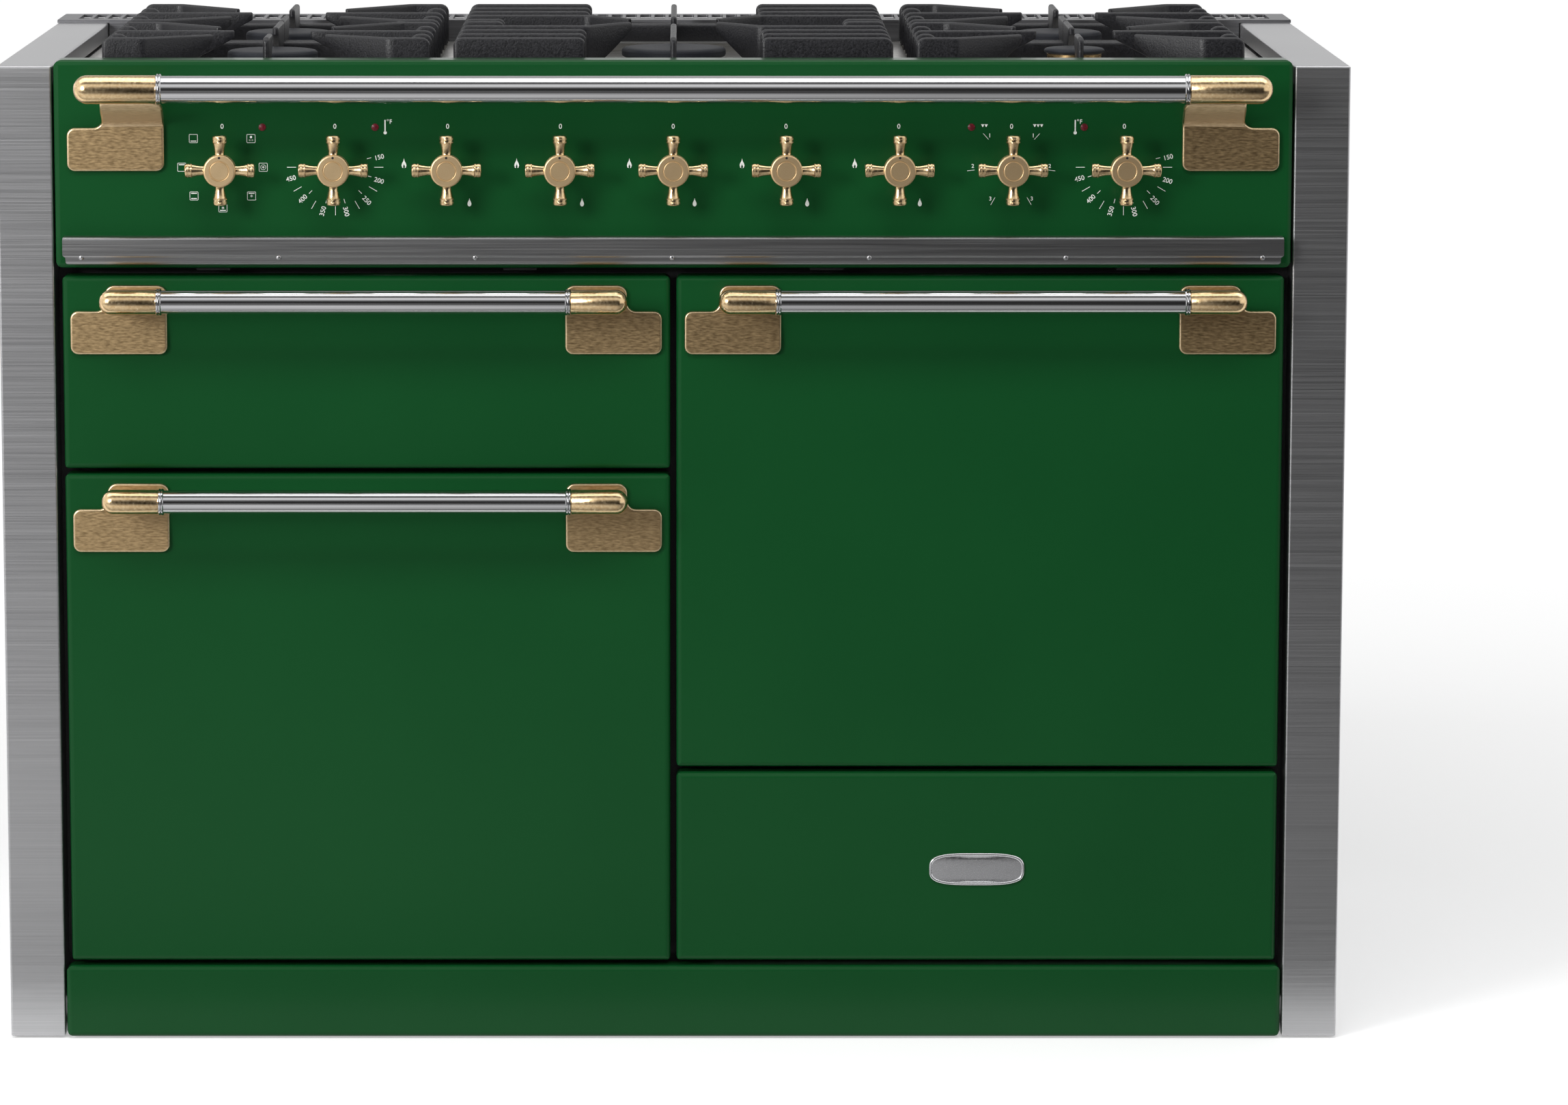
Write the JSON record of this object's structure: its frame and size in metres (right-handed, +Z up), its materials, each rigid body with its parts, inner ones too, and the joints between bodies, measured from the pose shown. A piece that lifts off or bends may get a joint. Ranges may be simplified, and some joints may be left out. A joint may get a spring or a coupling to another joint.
{
  "type": "range cooker",
  "caption": "Freestanding range cooker with glide-out broiler, drop-down oven doors, storage drawer, gas hob with cast iron pan supports, crosshead knobs and towel rail.",
  "frame": {"origin": "on the floor under the centre of the bounding box", "axes": "+X to the right seen from the front, +Y to the back, +Z up"},
  "size_m": [1.213, 0.709, 0.912],
  "materials": {
    "green_enamel": "gloss",
    "stainless": "brushed",
    "galvanised": "satin",
    "black_steel": "satin",
    "cast_iron": "matt enamel",
    "brass": "polished",
    "chrome": "polished",
    "burner_alloy": "satin",
    "control_body": "matt",
    "lamp_red": "gloss",
    "seal": "matt",
    "oven_enamel": "gloss"
  },
  "bodies": {
    "root": {"left_side_panel": "stainless", "right_side_panel": "stainless", "back_panel": "galvanised", "base_frame": "black_steel", "plinth": "green_enamel", "front_frame": "black_steel", "control_panel": "green_enamel", "panel_trim": "stainless", "hob_tray": "stainless", "rear_vent": "stainless", "rail_bar": "stainless", "rail_brackets": "brass", "burner_bodies": "burner_alloy", "burner_caps": "cast_iron", "gas_manifold": "brass", "oven_controls": "control_body", "indicator_lamps": "lamp_red", "left_oven_liner": "oven_enamel", "right_oven_liner": "oven_enamel", "broiler_chamber": "galvanised", "oven_door_seals": "seal", "oven_shelves": "chrome", "fan_covers": "oven_enamel", "broiler_elements": "black_steel", "fan_motors": "galvanised"},
    "left_fan": {"left_oven_fan": "galvanised"},
    "right_fan": {"right_oven_fan": "galvanised"},
    "left_support": {"left_pan_support": "cast_iron"},
    "centre_support": {"centre_pan_support": "cast_iron"},
    "right_support": {"right_pan_support": "cast_iron"},
    "knob_1": {"knob_1": "brass"},
    "knob_2": {"knob_2": "brass"},
    "knob_3": {"knob_3": "brass"},
    "tap_3": {"tap_spindle_3": "chrome"},
    "knob_4": {"knob_4": "brass"},
    "tap_4": {"tap_spindle_4": "chrome"},
    "knob_5": {"knob_5": "brass"},
    "tap_5": {"tap_spindle_5": "chrome"},
    "knob_6": {"knob_6": "brass"},
    "tap_6": {"tap_spindle_6": "chrome"},
    "knob_7": {"knob_7": "brass"},
    "tap_7": {"tap_spindle_7": "chrome"},
    "knob_8": {"knob_8": "brass"},
    "knob_9": {"knob_9": "brass"},
    "left_door": {"left_door_panel": "green_enamel", "left_door_liner": "black_steel", "left_door_handle_bar": "stainless", "left_door_handle_brackets": "brass"},
    "right_door": {"right_door_panel": "green_enamel", "right_door_liner": "black_steel", "right_door_handle_bar": "stainless", "right_door_handle_brackets": "brass"},
    "broiler": {"broiler_front": "green_enamel", "broiler_handle_bar": "stainless", "broiler_handle_brackets": "brass", "broiler_carriage": "galvanised", "broiler_pan": "oven_enamel"},
    "broiler_mid": {"broiler_mid_runners": "galvanised"},
    "drawer": {"drawer_front": "green_enamel", "drawer_box": "galvanised"}
  },
  "joints": [
    {"name": "left_fan_spin", "type": "hinge", "parent": "root", "child": "left_fan", "pos_m": [-0.27613, 0.158, 0.3045], "axis": [0, 1, 0], "continuous": true},
    {"name": "right_fan_spin", "type": "hinge", "parent": "root", "child": "right_fan", "pos_m": [0.27613, 0.158, 0.4845], "axis": [0, 1, 0], "continuous": true},
    {"name": "left_support_lift", "type": "slide", "parent": "root", "child": "left_support", "axis": [0, 0, 1], "range_m": [0, 0.08]},
    {"name": "centre_support_lift", "type": "slide", "parent": "root", "child": "centre_support", "axis": [0, 0, 1], "range_m": [0, 0.08]},
    {"name": "right_support_lift", "type": "slide", "parent": "root", "child": "right_support", "axis": [0, 0, 1], "range_m": [0, 0.08]},
    {"name": "knob_1_turn", "type": "hinge", "parent": "root", "child": "knob_1", "pos_m": [-0.404, -0.3205, 0.8005], "axis": [0, 1, 0], "continuous": true},
    {"name": "knob_2_turn", "type": "hinge", "parent": "root", "child": "knob_2", "pos_m": [-0.303, -0.3205, 0.8005], "axis": [0, 1, 0], "range_deg": [0, 270]},
    {"name": "tap_3_push", "type": "slide", "parent": "root", "child": "tap_3", "axis": [0, 1, 0], "range_m": [0, 0.004], "stiffness_N_per_m": 900, "springref_m": -0.004},
    {"name": "knob_3_turn", "type": "hinge", "parent": "tap_3", "child": "knob_3", "pos_m": [-0.202, -0.3205, 0.8005], "axis": [0, 1, 0], "range_deg": [-210, 0]},
    {"name": "tap_4_push", "type": "slide", "parent": "root", "child": "tap_4", "axis": [0, 1, 0], "range_m": [0, 0.004], "stiffness_N_per_m": 900, "springref_m": -0.004},
    {"name": "knob_4_turn", "type": "hinge", "parent": "tap_4", "child": "knob_4", "pos_m": [-0.101, -0.3205, 0.8005], "axis": [0, 1, 0], "range_deg": [-210, 0]},
    {"name": "tap_5_push", "type": "slide", "parent": "root", "child": "tap_5", "axis": [0, 1, 0], "range_m": [0, 0.004], "stiffness_N_per_m": 900, "springref_m": -0.004},
    {"name": "knob_5_turn", "type": "hinge", "parent": "tap_5", "child": "knob_5", "pos_m": [0, -0.3205, 0.8005], "axis": [0, 1, 0], "range_deg": [-210, 0]},
    {"name": "tap_6_push", "type": "slide", "parent": "root", "child": "tap_6", "axis": [0, 1, 0], "range_m": [0, 0.004], "stiffness_N_per_m": 900, "springref_m": -0.004},
    {"name": "knob_6_turn", "type": "hinge", "parent": "tap_6", "child": "knob_6", "pos_m": [0.101, -0.3205, 0.8005], "axis": [0, 1, 0], "range_deg": [-210, 0]},
    {"name": "tap_7_push", "type": "slide", "parent": "root", "child": "tap_7", "axis": [0, 1, 0], "range_m": [0, 0.004], "stiffness_N_per_m": 900, "springref_m": -0.004},
    {"name": "knob_7_turn", "type": "hinge", "parent": "tap_7", "child": "knob_7", "pos_m": [0.202, -0.3205, 0.8005], "axis": [0, 1, 0], "range_deg": [-210, 0]},
    {"name": "knob_8_turn", "type": "hinge", "parent": "root", "child": "knob_8", "pos_m": [0.303, -0.3205, 0.8005], "axis": [0, 1, 0], "range_deg": [-150, 150]},
    {"name": "knob_9_turn", "type": "hinge", "parent": "root", "child": "knob_9", "pos_m": [0.404, -0.3205, 0.8005], "axis": [0, 1, 0], "range_deg": [0, 270]},
    {"name": "left_door_hinge", "type": "hinge", "parent": "root", "child": "left_door", "pos_m": [-0.27613, -0.2755, 0.0935], "axis": [1, 0, 0], "range_deg": [0, 90], "stiffness_Nm_per_rad": 8, "springref_deg": -14.32},
    {"name": "right_door_hinge", "type": "hinge", "parent": "root", "child": "right_door", "pos_m": [0.27613, -0.2755, 0.2735], "axis": [1, 0, 0], "range_deg": [0, 90], "stiffness_Nm_per_rad": 8, "springref_deg": -14.32},
    {"name": "broiler_glide", "type": "slide", "parent": "root", "child": "broiler", "axis": [0, -1, 0], "range_m": [0, 0.35]},
    {"name": "broiler_mid_glide", "type": "slide", "parent": "root", "child": "broiler_mid", "axis": [0, -1, 0], "range_m": [0, 0.175]},
    {"name": "drawer_glide", "type": "slide", "parent": "root", "child": "drawer", "axis": [0, -1, 0], "range_m": [0, 0.38]}
  ],
  "couplings": [
    {"joint": "broiler_mid_glide", "follows": "broiler_glide", "ratio": 0.5}
  ]
}
